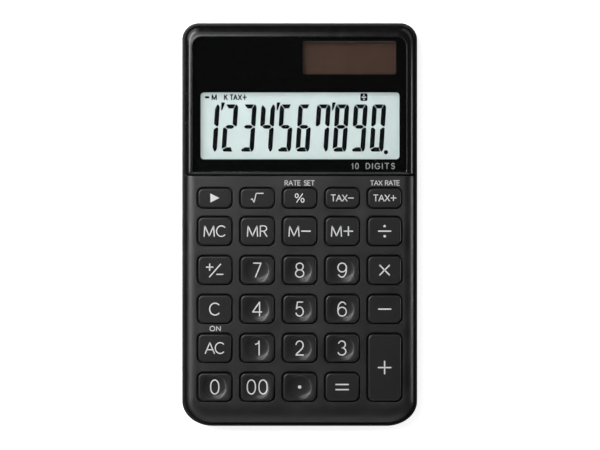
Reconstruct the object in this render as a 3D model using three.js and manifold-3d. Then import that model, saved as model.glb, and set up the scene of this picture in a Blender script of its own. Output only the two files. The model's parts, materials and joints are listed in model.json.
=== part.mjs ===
// A slim pocket calculator, taken apart into the pieces it is built from: two case halves, a glossy
// display surround with its lens, the liquid crystal cell, solar cell, circuit board, button cell,
// rubber key mat and one sliding cap for each key.
// Units are millimetres. +Z is up out of the key tops, +Y points to the display end, and the origin
// is the centre of the footprint on the plane that the four feet stand on.
import * as THREE from "three";
import { mergeVertices } from "three/addons/utils/BufferGeometryUtils.js";
import Module from "manifold-3d";

const wasm = await Module();
wasm.setup();

// ---- Driving dimensions ----

const WIDTH = 70;
const LENGTH = 120;
const CASE_CORNERS = { topRadius: [5, 5], bottomRadius: [9.2, 7.4] };

// Heights of the stack, from the table up.
const Z = {
  table: 0,
  rearBottom: 0.5,
  rearFloor: 1.7,
  boardBottom: 3.0,
  boardTop: 3.8,
  matTop: 4.45,
  rimLedge: 4.6,
  wallFoot: 4.65,
  rimTop: 4.95,
  domeTop: 5.75,
  stemEnd: 5.8,
  flangeBottom: 6.2,
  flangeTop: 6.85,
  shelfBottom: 7.0,
  deckUnderside: 6.95,
  shelfTop: 7.5,
  lensBottom: 7.65,
  deckTop: 8.3,
  lensTop: 8.85,
  frameTop: 8.9,
  keyTop: 9.15,
};
const AIR = 0.05; // gap between stacked faces that touch on the real object

// Case walls, measured inwards from the outer outline.
const RIM_WIDTH = 0.75;
const FRONT_INSET = 1.0;
const REAR_WALL = 1.6;
const FRONT_WALL = 1.2;
const REAR_EDGE = { inset: 1.4, rise: 2.0 };

// The seam between the key deck and the display end.
const DECK_END_Y = 14.55;
const FRAME_START_Y = 14.9;
const DECK_SHOULDER = { side: 3.25, bottom: 5.6, drop: 1.9 };
const END_WALL = 1.0;

// Display end: the surround's bevels, the lens inside it and the tray below.
const FRAME_BEVEL = { side: 2.2, top: 3.3, bottom: 0.6, drop: 2.0 };
const FRAME_SKIRT = 1.1;
const LENS_GAP = 0.1;
const TRAY = { halfWidth: 32.75, top: 57.75, wall: 1.1 };
const LCD_WINDOW = { x: 0, y: 29.4, width: 60.4, length: 20.9 };
const SOLAR_WINDOW = { x: 14.75, y: 49.5, width: 28.6, length: 10.6 };

// Keys: five columns and six rows; the top row is a low one and the plus key is two rows tall.
const COLUMN_PITCH = 12.6;
const ROW_PITCH = 11.56;
const TOP_ROW_Y = 7.86;
const SECOND_ROW_Y = -1.97;
const KEY_GAP = 0.45;
const OPENING = { width: 10.65, low: 6.45, standard: 9.0, radius: 1.9 };
const FLANGE_LAP = 0.4;
const STEM_RADIUS = 1.6;
const DOME = { foot: 3.4, crown: 2.0, wall: 0.65 };
const KEY_ROWS = [
  ["right_arrow", "sqrt", "percent", "tax_minus", "tax_plus"],
  ["mc", "mr", "m_minus", "m_plus", "divide"],
  ["sign", "7", "8", "9", "multiply"],
  ["c", "4", "5", "6", "minus"],
  ["ac", "1", "2", "3", "plus"],
  ["0", "00", "point", "equals"],
];
const TALL_KEY = "plus";

// Fastenings, feet and locating posts, mirrored about the centre line.
const SCREWS = [
  { x: 24.5, y: -55.4 },
  { x: 30.9, y: 13.55 },
];
const SCREW = { headRadius: 1.9, headBottom: 1.35, headTop: 2.25, shankRadius: 0.75, tip: 6.3 };
const SCREW_SEAT = { boreRadius: 2.15, ceiling: 2.3, columnRadius: 3.1, columnTop: 2.9, hole: 1.15 };
const BOSS = { radius: 1.6, bottom: 3.0, boreRadius: 1.0, boreTop: 6.6 };
const FEET = [
  { x: 27, y: 52 },
  { x: 27, y: -47 },
];
const FOOT = { radius: 2.5, thickness: 0.75, recess: 0.3, clearance: 0.25 };
const POSTS = [
  { x: COLUMN_PITCH / 2, y: -7.75 },
  { x: 1.5 * COLUMN_PITCH, y: -30.87 },
];
const POST = { radius: 0.7, bottom: 3.1, clearance: 0.25 };

// Inside the case.
const BOARD = { halfWidth: 31.6, bottom: -53.3, top: 43.3 };
const MAT = { halfWidth: 31.0, bottom: -53.0, top: 11.6 };
const HOLDER = { halfWidth: 31.4, bottom: 15.3, top: 41.7, floorTop: 5.4, ceiling: 6.9 };
const GLASS = { halfWidth: 30.6, bottom: 15.9, top: 41.2, ledge: 2.0, lowest: 5.75, middle: 6.3, upper: 6.95 };
const REFLECTOR = { bottom: 5.45, top: 5.7, contactMargin: 2.2 };
const ZEBRA = { halfWidth: 29, bottom: 16.0, top: 17.6 };
const SOLAR = { x: 14.75, y: 49.5, width: 28.1, length: 10.2, bottom: 5.3, top: 6.3 };
const SOLAR_PAD = { x: 14.75, y: 49.4, width: 19.5, length: 7.0, bottom: 4.6, top: 5.25 };
const CELL = { x: -17, y: 50.4, radius: 5.8, bottom: 2.0, top: 5.1 };
const CELL_WELL = { inner: 6.05, outer: 6.9, top: 3.6, mouth: 5.2 };
const CONTACT = { width: 4.0, thickness: 0.2 };
const CAPACITOR = { x: -4.5, y: 48.6, z: 4.1, radius: 2.0, length: 5.5, leadSpacing: 1.6, leadWidth: 0.5 };
const DIODE = { x: 12, y: 42.6, z: 4.55, radius: 0.65, length: 3.6, lead: 1.2, leadWidth: 0.4 };
const CHIP = { x: 8, y: 26, radius: 5.5, bottom: 2.05 };
const LABEL = { x: 0, y: 10, width: 40, length: 24, recess: 0.15 };
const BARBS = { x: 25, width: 5 };

const CORNER_STEPS = 5;
const SMALL_CORNER_STEPS = 2;
const SMALLEST_RADIUS = 0.3;

// ---- Outlines: rounded rectangles with elliptical corners ----

function rectangle(x, y, width, length, radius) {
  return {
    left: x - width / 2,
    right: x + width / 2,
    bottom: y - length / 2,
    top: y + length / 2,
    topRadius: [radius, radius],
    bottomRadius: [radius, radius],
  };
}

function inset(outline, side, bottom = side, top = side) {
  const shrink = ([rx, ry], byX, byY) => [
    Math.max(rx - byX, SMALLEST_RADIUS),
    Math.max(ry - byY, SMALLEST_RADIUS),
  ];
  return {
    left: outline.left + side,
    right: outline.right - side,
    bottom: outline.bottom + bottom,
    top: outline.top - top,
    topRadius: shrink(outline.topRadius, side, top),
    bottomRadius: shrink(outline.bottomRadius, side, bottom),
  };
}

function between(from, to, share) {
  const mix = (a, b) => THREE.MathUtils.lerp(a, b, share);
  return {
    left: mix(from.left, to.left),
    right: mix(from.right, to.right),
    bottom: mix(from.bottom, to.bottom),
    top: mix(from.top, to.top),
    topRadius: from.topRadius.map((radius, i) => mix(radius, to.topRadius[i])),
    bottomRadius: from.bottomRadius.map((radius, i) => mix(radius, to.bottomRadius[i])),
  };
}

// The outline's points, counterclockwise from the bottom right corner.
function outlinePoints(outline, steps) {
  const quarters = [
    [1, -1],
    [1, 1],
    [-1, 1],
    [-1, -1],
  ];
  return quarters.flatMap(([toX, toY], quarter) => {
    const [rx, ry] = toY > 0 ? outline.topRadius : outline.bottomRadius;
    const centreX = toX > 0 ? outline.right - rx : outline.left + rx;
    const centreY = toY > 0 ? outline.top - ry : outline.bottom + ry;
    return Array.from({ length: steps + 1 }, (_, step) => {
      const angle = (quarter - 1 + step / steps) * (Math.PI / 2);
      return new THREE.Vector2(centreX + rx * Math.cos(angle), centreY + ry * Math.sin(angle));
    });
  });
}

// ---- Solids ----

function solid(geometry) {
  const bare = geometry.clone();
  bare.deleteAttribute("normal");
  bare.deleteAttribute("uv");
  const merged = mergeVertices(bare, 1e-4);
  const mesh = new wasm.Mesh({
    numProp: 3,
    vertProperties: new Float32Array(merged.attributes.position.array),
    triVerts: new Uint32Array(merged.index.array),
  });
  return new wasm.Manifold(mesh);
}

const join = (solids) => solids.reduce((whole, next) => whole.add(next));
const cut = (whole, cutters) => whole.subtract(join(cutters));

// A solid skinned over rings of [outline, height], lowest first, with flat ends.
function loft(rings, steps = CORNER_STEPS) {
  const loops = rings.map(([outline]) => outlinePoints(outline, steps));
  const count = loops[0].length;
  const positions = loops.flatMap((loop, ring) =>
    loop.flatMap((point) => [point.x, point.y, rings[ring][1]]),
  );
  const faces = [];
  for (let ring = 0; ring + 1 < loops.length; ring++) {
    for (let i = 0; i < count; i++) {
      const here = ring * count + i;
      const next = ring * count + ((i + 1) % count);
      faces.push(here, next, next + count, here, next + count, here + count);
    }
  }
  const top = (loops.length - 1) * count;
  for (const [a, b, c] of THREE.ShapeUtils.triangulateShape(loops[0], [])) {
    faces.push(c, b, a);
  }
  for (const [a, b, c] of THREE.ShapeUtils.triangulateShape(loops.at(-1), [])) {
    faces.push(top + a, top + b, top + c);
  }
  const geometry = new THREE.BufferGeometry();
  geometry.setAttribute("position", new THREE.Float32BufferAttribute(positions, 3));
  geometry.setIndex(faces);
  return solid(geometry);
}

// An outline extruded straight up.
function prism(outline, bottom, top, steps = CORNER_STEPS) {
  const shape = new THREE.Shape(outlinePoints(outline, steps));
  const geometry = new THREE.ExtrudeGeometry(shape, { depth: top - bottom, bevelEnabled: false });
  return solid(geometry.translate(0, 0, bottom));
}

function block([left, right], [front, back], [bottom, top]) {
  const geometry = new THREE.BoxGeometry(right - left, back - front, top - bottom);
  return solid(geometry.translate((left + right) / 2, (front + back) / 2, (bottom + top) / 2));
}

// An upright cylinder or cone.
function rod({ x, y }, radius, bottom, top, { sides = 16, topRadius = radius } = {}) {
  const geometry = new THREE.CylinderGeometry(topRadius, radius, top - bottom, sides);
  return solid(geometry.rotateX(Math.PI / 2).translate(x, y, (bottom + top) / 2));
}

// A flat strip bent along a path of [y, z] points and as wide as its contact along X.
function bentStrip(centreX, path, { width, thickness }) {
  const upper = path.map(([y, z]) => new THREE.Vector2(y, z + thickness));
  const lower = path.map(([y, z]) => new THREE.Vector2(y, z)).reverse();
  const shape = new THREE.Shape([...upper, ...lower]);
  const geometry = new THREE.ExtrudeGeometry(shape, { depth: width, bevelEnabled: false });
  geometry.rotateY(Math.PI / 2).rotateX(Math.PI / 2);
  return solid(geometry.translate(centreX - width / 2, 0, 0));
}

const mirrored = (places) => places.flatMap(({ x, y }) => [{ x: -x, y }, { x, y }]);
const quarterTurn = (steps) => Array.from({ length: steps + 1 }, (_, i) => (i / steps) * (Math.PI / 2));

// ---- Shared outlines ----

const BODY = { ...rectangle(0, 0, WIDTH, LENGTH, 0), ...CASE_CORNERS };
const FRONT = inset(BODY, FRONT_INSET);
const DECK_EDGE = { ...FRONT, top: DECK_END_Y, topRadius: [SMALLEST_RADIUS, SMALLEST_RADIUS] };
const DECK_FLAT = { ...inset(DECK_EDGE, DECK_SHOULDER.side, DECK_SHOULDER.bottom, 0), bottomRadius: [6, 4] };
const FRAME_EDGE = { ...FRONT, bottom: FRAME_START_Y, bottomRadius: [SMALLEST_RADIUS, SMALLEST_RADIUS] };
const FRAME_FLAT = {
  ...inset(FRAME_EDGE, FRAME_BEVEL.side, FRAME_BEVEL.bottom, FRAME_BEVEL.top),
  topRadius: [2.8, 2.8],
  bottomRadius: [0.5, 0.5],
};
const TRAY_OUTER = {
  ...FRAME_EDGE,
  left: -TRAY.halfWidth,
  right: TRAY.halfWidth,
  bottom: DECK_END_Y - END_WALL,
  top: TRAY.top,
  topRadius: [2.8, 2.8],
};

// ---- Keys ----

function keyPlaces() {
  return KEY_ROWS.flatMap((names, row) =>
    names.map((name, column) => {
      const low = row === 0;
      const rowY = low ? TOP_ROW_Y : SECOND_ROW_Y - (row - 1) * ROW_PITCH;
      const tall = name === TALL_KEY;
      return {
        name: `key_${name}`,
        x: (column - 2) * COLUMN_PITCH,
        y: tall ? rowY - ROW_PITCH / 2 : rowY,
        length: tall ? OPENING.standard + ROW_PITCH : low ? OPENING.low : OPENING.standard,
      };
    }),
  );
}

const openingOf = ({ x, y, length }) => rectangle(x, y, OPENING.width, length, OPENING.radius);

// A cap with a crowned edge, the flange that keeps it in the case, and the stem that presses the mat.
function keyCap(place) {
  const flange = inset(openingOf(place), -FLANGE_LAP);
  const cap = inset(openingOf(place), KEY_GAP);
  const body = loft(
    [
      [flange, Z.flangeBottom],
      [flange, Z.flangeTop],
      [cap, Z.flangeTop],
      [cap, Z.keyTop - 0.35],
      [inset(cap, 0.4), Z.keyTop],
    ],
    SMALL_CORNER_STEPS,
  );
  return body.add(rod(place, STEM_RADIUS, Z.stemEnd, Z.flangeBottom + 0.2, { sides: 8 }));
}

// ---- Case ----

function rearCover() {
  const bottomEdge = quarterTurn(4).map((turn) => [
    inset(BODY, REAR_EDGE.inset * (1 - Math.sin(turn))),
    Z.rearBottom + REAR_EDGE.rise * (1 - Math.cos(turn)),
  ]);
  const tub = loft([...bottomEdge, [BODY, Z.rimTop]]);
  const inside = loft([
    [inset(BODY, REAR_WALL + 1), Z.rearFloor],
    [inset(BODY, REAR_WALL), Z.rearFloor + 0.9],
    [inset(BODY, REAR_WALL), Z.rimTop + 1],
  ]);
  const rebate = prism(inset(BODY, RIM_WIDTH), Z.rimLedge, Z.rimTop + 1);
  const added = [
    ...mirrored(SCREWS).map((place) =>
      rod(place, SCREW_SEAT.columnRadius, Z.rearFloor - 0.5, SCREW_SEAT.columnTop),
    ),
    ...boardRibs(),
    ...solarRibs(),
    ...catchRibs(),
    cellWell(),
  ];
  const removed = [
    ...mirrored(SCREWS).flatMap((place) => [
      rod(place, SCREW_SEAT.boreRadius, -1, SCREW_SEAT.ceiling),
      rod(place, SCREW_SEAT.hole, 1, Z.boardBottom),
    ]),
    ...mirrored(FEET).map((place) =>
      rod(place, FOOT.radius + FOOT.clearance, -1, Z.rearBottom + FOOT.recess, { sides: 20 }),
    ),
    prism(rectangle(LABEL.x, LABEL.y, LABEL.width, LABEL.length, 1.5), -1, Z.rearBottom + LABEL.recess, 3),
  ];
  return cut(join([cut(tub, [inside, rebate]), ...added]), removed);
}

// Low ribs that hold the circuit board off the floor.
function boardRibs() {
  const height = [Z.rearFloor - 0.5, Z.boardBottom - AIR];
  return [-15, 15].map((x) => block([x - 0.5, x + 0.5], [-50, 40], height));
}

function solarRibs() {
  const height = [Z.rearFloor - 0.5, SOLAR_PAD.bottom - AIR];
  return [-2.5, 2.5].map((offset) => {
    const y = SOLAR_PAD.y + offset;
    return block([6, 23.5], [y - 0.4, y + 0.4], height);
  });
}

// Lips inside the top wall that the front case's barbs snap under.
function catchRibs() {
  return [-BARBS.x, BARBS.x].map((x) =>
    block([x - BARBS.width / 2, x + BARBS.width / 2], [57.9, 58.8], [3.95, 4.4]),
  );
}

// The round well that holds the button cell, open towards the board for its contacts.
function cellWell() {
  const ring = rod(CELL, CELL_WELL.outer, Z.rearFloor - 0.5, CELL_WELL.top, { sides: 32 });
  const core = rod(CELL, CELL_WELL.inner, Z.rearFloor, CELL_WELL.top + 1, { sides: 32 });
  const mouth = block(
    [CELL.x - CELL_WELL.mouth / 2, CELL.x + CELL_WELL.mouth / 2],
    [CELL.y - CELL_WELL.outer - 1, CELL.y],
    [Z.rearFloor, CELL_WELL.top + 1],
  );
  return cut(ring, [core, mouth]);
}

// The matt deck with its key openings, and behind the seam the lower tray that holds the display.
function frontCase() {
  const shoulder = quarterTurn(5).map((turn) => [
    between(DECK_EDGE, DECK_FLAT, 1 - Math.cos(turn)),
    Z.deckTop - DECK_SHOULDER.drop * (1 - Math.sin(turn)),
  ]);
  const deck = loft([[DECK_EDGE, Z.wallFoot], ...shoulder]);
  const deckInside = { ...inset(DECK_EDGE, FRONT_WALL), top: DECK_END_Y - END_WALL };
  const trayInside = { ...inset(TRAY_OUTER, TRAY.wall), bottom: DECK_END_Y - 2 * END_WALL };
  const added = [
    prism(TRAY_OUTER, Z.wallFoot, Z.shelfTop),
    ...frontBarbs(),
  ];
  const removed = [
    prism(deckInside, 0, Z.deckUnderside),
    prism(trayInside, 0, Z.shelfBottom),
    windowIn(LCD_WINDOW),
    windowIn(SOLAR_WINDOW),
    ...keyPlaces().map((place) => prism(openingOf(place), 6, 10, SMALL_CORNER_STEPS)),
  ];
  const shell = cut(join([deck, ...added]), removed);
  const bosses = mirrored(SCREWS).map((place) =>
    rod(place, BOSS.radius, BOSS.bottom, Z.deckUnderside + 0.3, { sides: 12 }),
  );
  const bores = mirrored(SCREWS).map((place) => rod(place, BOSS.boreRadius, 2, BOSS.boreTop, { sides: 12 }));
  const posts = mirrored(POSTS).map((place) =>
    rod(place, POST.radius, POST.bottom, Z.deckUnderside + 0.3, { sides: 10 }),
  );
  return cut(join([shell, ...bosses, ...posts]), bores);
}

const windowIn = ({ x, y, width, length }) => prism(rectangle(x, y, width, length, 1), 6, 8, 3);

function frontBarbs() {
  return [-BARBS.x, BARBS.x].flatMap((x) => {
    const across = [x - BARBS.width / 2 + 0.5, x + BARBS.width / 2 - 0.5];
    return [block(across, [56.9, 57.7], [2.9, Z.shelfBottom]), block(across, [57.5, 58.2], [3.0, 3.75])];
  });
}

// The glossy surround: a crowned bevel on three sides, a thin bar above the seam, a skirt down to the rim.
function displayFrame() {
  const bevel = quarterTurn(5).map((turn) => [
    between(FRAME_EDGE, FRAME_FLAT, 1 - Math.cos(turn)),
    Z.frameTop - FRAME_BEVEL.drop * (1 - Math.sin(turn)),
  ]);
  const crown = loft([[FRAME_EDGE, Z.wallFoot + AIR], ...bevel]);
  const underside = { ...inset(FRAME_EDGE, FRAME_SKIRT), bottom: FRAME_START_Y - 1 };
  return cut(crown, [prism(FRAME_FLAT, 0, 10), prism(underside, 0, Z.shelfTop + AIR)]);
}

const displayLens = () => prism(inset(FRAME_FLAT, LENS_GAP), Z.lensBottom, Z.lensTop);

// The thin adhesive border between the tray's shelf and the lens.
function lensTape() {
  const border = prism(inset(FRAME_FLAT, 0.3), Z.shelfTop + 0.02, Z.lensBottom - 0.03, 3);
  return cut(border, [prism(rectangle(LCD_WINDOW.x, 35.2, 61.4, 38.0, 2), 7, 8, 3)]);
}

// ---- Display and power ----

const centred = (outline, bottom, top) =>
  prism({ ...rectangle(0, 0, 1, 1, 0.3), ...outline }, bottom, top, 1);
const across = (half) => ({ left: -half, right: half });

const lcdUpperGlass = () =>
  centred({ ...across(GLASS.halfWidth), bottom: GLASS.bottom, top: GLASS.top }, GLASS.middle + AIR, GLASS.upper);

const lcdLowerGlass = () =>
  centred(
    { ...across(GLASS.halfWidth), bottom: GLASS.bottom + GLASS.ledge, top: GLASS.top },
    GLASS.lowest,
    GLASS.middle,
  );

const lcdReflector = () =>
  centred(
    { ...across(GLASS.halfWidth - 0.3), bottom: GLASS.bottom + REFLECTOR.contactMargin, top: GLASS.top - 0.2 },
    REFLECTOR.bottom,
    REFLECTOR.top,
  );

const zebraStrip = () =>
  centred({ ...across(ZEBRA.halfWidth), bottom: ZEBRA.bottom, top: ZEBRA.top }, Z.boardTop + AIR, GLASS.middle);

// The frame that stacks the glass over the board, with a slot for the contact strip.
function lcdHolder() {
  const outer = { ...across(HOLDER.halfWidth), bottom: HOLDER.bottom, top: HOLDER.top };
  const pocket = [
    [-GLASS.halfWidth - 0.1, GLASS.halfWidth + 0.1],
    [GLASS.bottom - 0.1, GLASS.top + 0.1],
    [HOLDER.floorTop, 8],
  ];
  const slot = [
    [-ZEBRA.halfWidth - 0.1, ZEBRA.halfWidth + 0.1],
    [ZEBRA.bottom - 0.1, ZEBRA.top + 0.1],
    [3, 8],
  ];
  return cut(centred(outer, Z.boardTop + AIR, HOLDER.ceiling), [block(...pocket), block(...slot)]);
}

const solarCell = () => prism(rectangle(SOLAR.x, SOLAR.y, SOLAR.width, SOLAR.length, 0.3), SOLAR.bottom, SOLAR.top, 1);

const solarPad = () =>
  prism(
    rectangle(SOLAR_PAD.x, SOLAR_PAD.y, SOLAR_PAD.width, SOLAR_PAD.length, 0.5),
    SOLAR_PAD.bottom,
    SOLAR_PAD.top,
    1,
  );

// An insulated wire from under the solar cell down to the board's edge.
function solarLead(x) {
  const radius = 0.4;
  const path = new THREE.CatmullRomCurve3([
    new THREE.Vector3(x, 47.0, SOLAR.bottom - radius - AIR),
    new THREE.Vector3(x, 45.6, SOLAR.bottom - radius - 0.15),
    new THREE.Vector3(x, 44.0, Z.boardTop + radius + 0.35),
    new THREE.Vector3(x, 42.3, Z.boardTop + radius + AIR),
  ]);
  const section = new THREE.Shape().absarc(0, 0, radius, 0, 2 * Math.PI);
  return solid(new THREE.ExtrudeGeometry(section, { steps: 9, curveSegments: 4, extrudePath: path, bevelEnabled: false }));
}

function mainBoard() {
  const outline = { ...across(BOARD.halfWidth), bottom: BOARD.bottom, top: BOARD.top };
  const notches = mirrored(SCREWS).map((place) => rod(place, BOSS.radius + 0.4, 2, 5, { sides: 14 }));
  const postHoles = mirrored(POSTS).map((place) => rod(place, POST.radius + POST.clearance, 2, 5, { sides: 10 }));
  return cut(centred(outline, Z.boardBottom, Z.boardTop), [...notches, ...postHoles]);
}

// The drop of resin over the bare chip on the board's underside.
function chipCover() {
  const depth = Z.boardBottom - AIR - CHIP.bottom;
  const profile = quarterTurn(4).map(
    (turn) => new THREE.Vector2(CHIP.radius * Math.sin(turn), -depth * Math.cos(turn)),
  );
  const geometry = new THREE.LatheGeometry([...profile, new THREE.Vector2(0, 0)], 20);
  return solid(geometry.rotateX(Math.PI / 2).translate(CHIP.x, CHIP.y, Z.boardBottom - AIR));
}

function storageCapacitor() {
  const { x, y, z, radius, length, leadSpacing, leadWidth } = CAPACITOR;
  const can = new THREE.CylinderGeometry(radius, radius, length, 16).translate(x, y, z);
  const leads = [-leadSpacing / 2, leadSpacing / 2].map((offset) =>
    block(
      [x + offset - leadWidth / 2, x + offset + leadWidth / 2],
      [BOARD.top - 1, y],
      [z - leadWidth / 2, z + leadWidth / 2],
    ),
  );
  return join([solid(can), ...leads]);
}

function limiterDiode() {
  const { x, y, z, radius, length, lead, leadWidth } = DIODE;
  const body = new THREE.CylinderGeometry(radius, radius, length, 12).rotateZ(Math.PI / 2).translate(x, y, z);
  const half = leadWidth / 2;
  const reach = length / 2 + lead;
  const wire = block([x - reach, x + reach], [y - half, y + half], [z - half, z + half]);
  const ends = [-reach, reach - leadWidth].map((offset) =>
    block([x + offset, x + offset + leadWidth], [y - half, y + half], [Z.boardTop + AIR, z]),
  );
  return join([solid(body), wire, ...ends]);
}

// The rubber sheet over the board, with a hollow dome under every key.
function keyMat() {
  const outline = { ...across(MAT.halfWidth), bottom: MAT.bottom, top: MAT.top };
  const sheet = centred(outline, Z.boardTop + AIR, Z.matTop);
  const places = keyPlaces();
  const domes = places.map((place) =>
    rod(place, DOME.foot, Z.matTop - 0.2, Z.domeTop, { sides: 8, topRadius: DOME.crown }),
  );
  const hollows = places.map((place) =>
    rod(place, DOME.foot - DOME.wall, 3, Z.domeTop - DOME.wall, { sides: 8, topRadius: DOME.crown - DOME.wall }),
  );
  const postHoles = mirrored(POSTS).map((place) => rod(place, POST.radius + POST.clearance, 2, 6, { sides: 10 }));
  return cut(join([sheet, ...domes]), [...hollows, ...postHoles]);
}

const batteryCell = () => rod(CELL, CELL.radius, CELL.bottom, CELL.top, { sides: 28 });

// The strip over the cell's flat can, soldered to the top of the board.
function batteryContactPositive() {
  const onBoard = Z.boardTop + AIR;
  const overCell = CELL.top + AIR;
  return bentStrip(CELL.x, [[42.1, onBoard], [43.0, onBoard], [44.2, overCell], [52.5, overCell]], CONTACT);
}

// The leaf under the cell's cap, soldered to the underside of the board.
function batteryContactNegative() {
  const underBoard = Z.boardBottom - AIR - CONTACT.thickness;
  const onFloor = Z.rearFloor + AIR;
  return bentStrip(CELL.x, [[41.5, underBoard], [42.9, underBoard], [44.4, onFloor], [52.5, onFloor]], CONTACT);
}

// ---- Fastenings and trim ----

function caseScrew(place) {
  const head = rod(place, SCREW.headRadius, SCREW.headBottom, SCREW.headTop);
  const shank = rod(place, SCREW.shankRadius, SCREW.headTop - 0.2, SCREW.tip, { sides: 10 });
  const slot = (lengthX, lengthY) =>
    block([place.x - lengthX, place.x + lengthX], [place.y - lengthY, place.y + lengthY], [1, SCREW.headBottom + 0.45]);
  return cut(head.add(shank), [slot(1.1, 0.25), slot(0.25, 1.1)]);
}

const foot = (place) => rod(place, FOOT.radius, Z.table, FOOT.thickness, { sides: 20 });

function ratingLabel() {
  const outline = rectangle(LABEL.x, LABEL.y, LABEL.width - 0.4, LABEL.length - 0.4, 1.3);
  return prism(outline, Z.rearBottom + 0.03, Z.rearBottom + LABEL.recess - 0.03, 3);
}

// ---- Finishes ----

const FINISHES = {
  mattBlack: { color: 0x2c2d2f, roughness: 0.6 },
  keyBlack: { color: 0x232325, roughness: 0.55 },
  rearBlack: { color: 0x262729, roughness: 0.65 },
  glossBlack: { color: 0x050506, roughness: 0.12 },
  clearAcrylic: { color: 0xf2f6f6, roughness: 0.05, transparent: true, opacity: 0.3 },
  glass: { color: 0xd5e2e2, roughness: 0.08, transparent: true, opacity: 0.4 },
  reflector: { color: 0xd5e2e2, roughness: 0.4, metalness: 0.2 },
  whitePlastic: { color: 0xd8d8d4, roughness: 0.6 },
  pinkRubber: { color: 0xc9c3bd, roughness: 0.8 },
  tape: { color: 0x1a1a1a, roughness: 0.9 },
  solar: { color: 0x423229, roughness: 0.25 },
  foam: { color: 0x3a3a3a, roughness: 0.95 },
  redWire: { color: 0x9c2320, roughness: 0.5 },
  blackWire: { color: 0x1b1b1b, roughness: 0.5 },
  board: { color: 0x2f5a35, roughness: 0.45 },
  resin: { color: 0x0c0c0d, roughness: 0.35 },
  capacitor: { color: 0x1e2a4a, roughness: 0.4 },
  diode: { color: 0xb5612c, roughness: 0.2 },
  mat: { color: 0xb9bcc0, roughness: 0.8 },
  steel: { color: 0xc3c5c8, roughness: 0.3, metalness: 0.9 },
  screwSteel: { color: 0x3a3b3d, roughness: 0.4, metalness: 0.8 },
  rubber: { color: 0x1c1c1d, roughness: 0.9 },
  label: { color: 0xa9abad, roughness: 0.5 },
};

// ---- The assembly ----

const calculator = new THREE.Group();

function addPiece(name, shape, finish) {
  const { numProp, vertProperties, triVerts } = shape.getMesh();
  const indexed = new THREE.BufferGeometry();
  const attribute = new THREE.InterleavedBufferAttribute(
    new THREE.InterleavedBuffer(vertProperties, numProp),
    3,
    0,
  );
  indexed.setAttribute("position", attribute);
  indexed.setIndex(new THREE.BufferAttribute(triVerts, 1));
  const geometry = indexed.toNonIndexed();
  geometry.computeVertexNormals();
  const mesh = new THREE.Mesh(geometry, new THREE.MeshStandardMaterial(FINISHES[finish]));
  mesh.name = name;
  calculator.add(mesh);
}

addPiece("rear_cover", rearCover(), "rearBlack");
addPiece("front_case", frontCase(), "mattBlack");
addPiece("display_frame", displayFrame(), "glossBlack");
addPiece("display_lens", displayLens(), "clearAcrylic");
addPiece("lens_tape", lensTape(), "tape");
addPiece("lcd_upper_glass", lcdUpperGlass(), "glass");
addPiece("lcd_lower_glass", lcdLowerGlass(), "glass");
addPiece("lcd_reflector", lcdReflector(), "reflector");
addPiece("lcd_holder", lcdHolder(), "whitePlastic");
addPiece("zebra_strip", zebraStrip(), "pinkRubber");
addPiece("solar_cell", solarCell(), "solar");
addPiece("solar_pad", solarPad(), "foam");
addPiece("solar_lead_positive", solarLead(2.5), "redWire");
addPiece("solar_lead_negative", solarLead(27), "blackWire");
addPiece("main_board", mainBoard(), "board");
addPiece("chip_cover", chipCover(), "resin");
addPiece("storage_capacitor", storageCapacitor(), "capacitor");
addPiece("limiter_diode", limiterDiode(), "diode");
addPiece("key_mat", keyMat(), "mat");
addPiece("battery_cell", batteryCell(), "steel");
addPiece("battery_contact_positive", batteryContactPositive(), "steel");
addPiece("battery_contact_negative", batteryContactNegative(), "steel");
addPiece("rating_label", ratingLabel(), "label");
mirrored(SCREWS).forEach((place, i) => addPiece(`case_screw_${i + 1}`, caseScrew(place), "screwSteel"));
mirrored(FEET).forEach((place, i) => addPiece(`foot_${i + 1}`, foot(place), "rubber"));
for (const place of keyPlaces()) {
  addPiece(place.name, keyCap(place), "keyBlack");
}

export default calculator;
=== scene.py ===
"""A slim pocket calculator: fine shells, keys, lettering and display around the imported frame.

Lengths are in millimetres until a mesh is made. +Y points to the display end and +Z out of the key tops.
"""
import json
import math
from collections import namedtuple

import bpy
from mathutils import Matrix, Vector
from mathutils.geometry import delaunay_2d_cdt


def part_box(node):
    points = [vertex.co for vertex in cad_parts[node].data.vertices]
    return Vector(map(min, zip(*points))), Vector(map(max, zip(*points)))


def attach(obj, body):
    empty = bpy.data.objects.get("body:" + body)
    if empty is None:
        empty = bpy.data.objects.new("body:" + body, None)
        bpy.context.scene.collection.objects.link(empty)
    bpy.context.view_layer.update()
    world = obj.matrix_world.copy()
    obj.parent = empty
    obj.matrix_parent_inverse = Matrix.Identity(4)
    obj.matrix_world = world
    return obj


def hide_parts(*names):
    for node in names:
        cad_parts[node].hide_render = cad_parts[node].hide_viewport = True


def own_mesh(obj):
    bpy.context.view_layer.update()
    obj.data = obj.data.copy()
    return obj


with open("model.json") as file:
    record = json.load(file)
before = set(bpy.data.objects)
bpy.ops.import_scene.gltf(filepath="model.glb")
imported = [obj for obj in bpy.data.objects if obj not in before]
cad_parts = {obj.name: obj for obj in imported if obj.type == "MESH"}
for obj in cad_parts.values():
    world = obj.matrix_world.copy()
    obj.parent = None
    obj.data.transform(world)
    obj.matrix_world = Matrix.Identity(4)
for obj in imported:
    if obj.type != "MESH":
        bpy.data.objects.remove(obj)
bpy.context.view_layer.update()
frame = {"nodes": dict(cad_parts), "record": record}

MM = 0.001
CASE = "case"

# ---- Sizes that the frame's boxes can't give ----
# A window is x, y, width, length and corner radius. A crease is a narrow strip that keeps a flat face
# flat beside a curved one. A profile is radius and z. A word is its text, x, y, width, height and stroke.

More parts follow.
